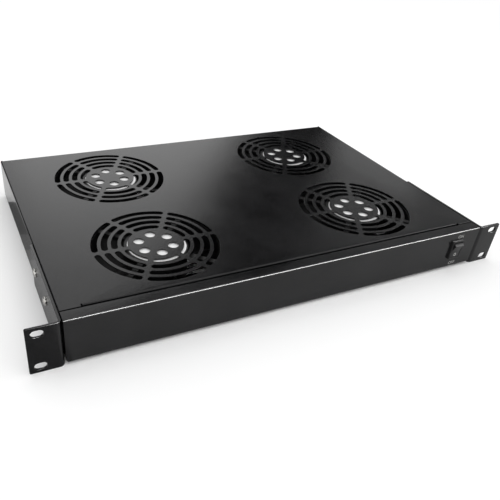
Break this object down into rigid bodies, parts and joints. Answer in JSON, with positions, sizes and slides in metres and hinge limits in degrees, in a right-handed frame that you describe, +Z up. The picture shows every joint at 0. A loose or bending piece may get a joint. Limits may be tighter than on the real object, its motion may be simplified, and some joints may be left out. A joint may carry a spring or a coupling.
{
  "type": "rack fan tray",
  "caption": "Shallow black steel rack tray with ring grilles over its axial fans, slotted ears, a front rocker switch and a rear power inlet.",
  "frame": {"origin": "centre of the four rack slots, on the rear face of the ears, which seats on the rack's rails", "axes": "+X to the right seen from the front, +Y to the rear, +Z up"},
  "size_m": [0.4826, 0.3001, 0.0436],
  "materials": {
    "powder_coat": "fine-textured satin powder coat",
    "nickel_steel": "nickel plate",
    "fan_casting": "black painted casting",
    "fan_plastic": "moulded",
    "ground_steel": "ground",
    "tinned_brass": "tinned",
    "switch_black": "moulded",
    "rocker_black": "polished mould",
    "inlet_black": "moulded",
    "nickel_pin": "nickel plate",
    "block_nylon": "moulded nylon",
    "lead_sleeve": "sleeved"
  },
  "bodies": {
    "chassis": {"base_tray": "powder_coat", "top_cover": "powder_coat", "ear_bracket_left": "powder_coat", "ear_bracket_right": "powder_coat", "bracket_screws": "nickel_steel", "cover_screws": "nickel_steel", "fan_terminals": "tinned_brass", "switch_body": "switch_black", "switch_terminals": "tinned_brass", "inlet_body": "inlet_black", "inlet_pins": "nickel_pin", "terminal_block": "block_nylon", "inlet_lead": "lead_sleeve", "switch_lead": "lead_sleeve", "fan_lead": "lead_sleeve", "earth_stud": "nickel_steel", "fan_frame_front_left": "fan_casting", "fan_frame_front_right": "fan_casting", "fan_frame_rear_left": "fan_casting", "fan_frame_rear_right": "fan_casting"},
    "rotor_front_left": {"impeller_front_left": "fan_plastic", "fan_shaft_front_left": "ground_steel"},
    "rotor_front_right": {"impeller_front_right": "fan_plastic", "fan_shaft_front_right": "ground_steel"},
    "rotor_rear_left": {"impeller_rear_left": "fan_plastic", "fan_shaft_rear_left": "ground_steel"},
    "rotor_rear_right": {"impeller_rear_right": "fan_plastic", "fan_shaft_rear_right": "ground_steel"},
    "rocker": {"switch_rocker": "rocker_black"}
  },
  "joints": [
    {"name": "spin_front_left", "type": "hinge", "parent": "chassis", "child": "rotor_front_left", "pos_m": [-0.1113, 0.07708, 0.0132], "axis": [0, 0, 1], "continuous": true},
    {"name": "spin_front_right", "type": "hinge", "parent": "chassis", "child": "rotor_front_right", "pos_m": [0.1113, 0.07708, 0.0132], "axis": [0, 0, 1], "continuous": true},
    {"name": "spin_rear_left", "type": "hinge", "parent": "chassis", "child": "rotor_rear_left", "pos_m": [-0.1113, 0.21813, 0.0132], "axis": [0, 0, 1], "continuous": true},
    {"name": "spin_rear_right", "type": "hinge", "parent": "chassis", "child": "rotor_rear_right", "pos_m": [0.1113, 0.21813, 0.0132], "axis": [0, 0, 1], "continuous": true},
    {"name": "rocker_tilt", "type": "hinge", "parent": "chassis", "child": "rocker", "pos_m": [0.186, -0.0006, 0.0015], "axis": [-1, 0, 0], "range_deg": [0, 22]}
  ]
}
